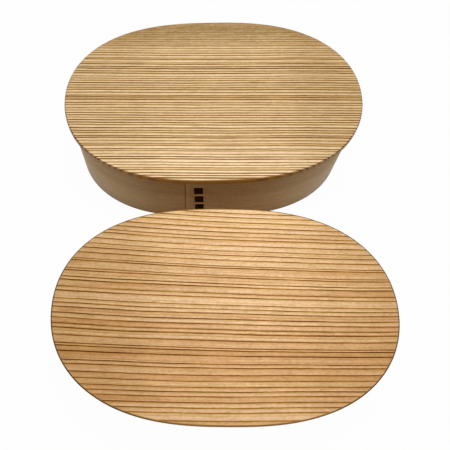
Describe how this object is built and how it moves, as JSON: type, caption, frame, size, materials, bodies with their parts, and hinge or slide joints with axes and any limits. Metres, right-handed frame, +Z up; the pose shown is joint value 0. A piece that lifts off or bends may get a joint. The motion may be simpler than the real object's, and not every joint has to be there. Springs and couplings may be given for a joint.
{
  "type": "bentwood lunch box",
  "caption": "Oval bentwood lunch box in tiers set side by side, each a lapped and bark-laced cedar hoop with a set-in bottom board and a flat lift-off lid.",
  "frame": {"origin": "on the table, midway between the tiers as they stand side by side: bottom centre of the whole set", "axes": "+Y from the lower tier in front to the upper tier behind, along the longest extent; +X along the tiers' long sides; +Z up"},
  "size_m": [0.1822, 0.2476, 0.054],
  "materials": {
    "hoop_cedar": "bent straight-grained cedar, sanded, thin matt clear coat",
    "board_cedar": "flat cedar board, sanded, thin matt clear coat",
    "top_lid_cedar": "fine straight-grained cedar, sanded, thin satin clear coat",
    "inner_lid_cedar": "coarse straight-grained cedar, sanded, thin satin clear coat",
    "bark": "dark bark ribbon, faint gloss"
  },
  "bodies": {
    "upper_tier": {"upper_hoop": "hoop_cedar", "upper_bottom_board": "board_cedar", "upper_bark_lacing": "bark"},
    "lower_tier": {"lower_hoop": "hoop_cedar", "lower_bottom_board": "board_cedar", "lower_bark_lacing": "bark"},
    "top_lid": {"top_lid_board": "top_lid_cedar", "top_lid_ring": "hoop_cedar"},
    "inner_lid": {"inner_lid_board": "inner_lid_cedar", "inner_lid_ring": "hoop_cedar"}
  },
  "joints": [
    {"name": "top_lid_lift", "type": "slide", "parent": "upper_tier", "child": "top_lid", "axis": [0, 0, 1], "range_m": [0, 0.08]},
    {"name": "lower_tier_lift", "type": "slide", "parent": "upper_tier", "child": "lower_tier", "axis": [0, 0, 1], "range_m": [0, 0.08]},
    {"name": "inner_lid_lift", "type": "slide", "parent": "lower_tier", "child": "inner_lid", "axis": [0, 0, 1], "range_m": [0, 0.08]}
  ]
}
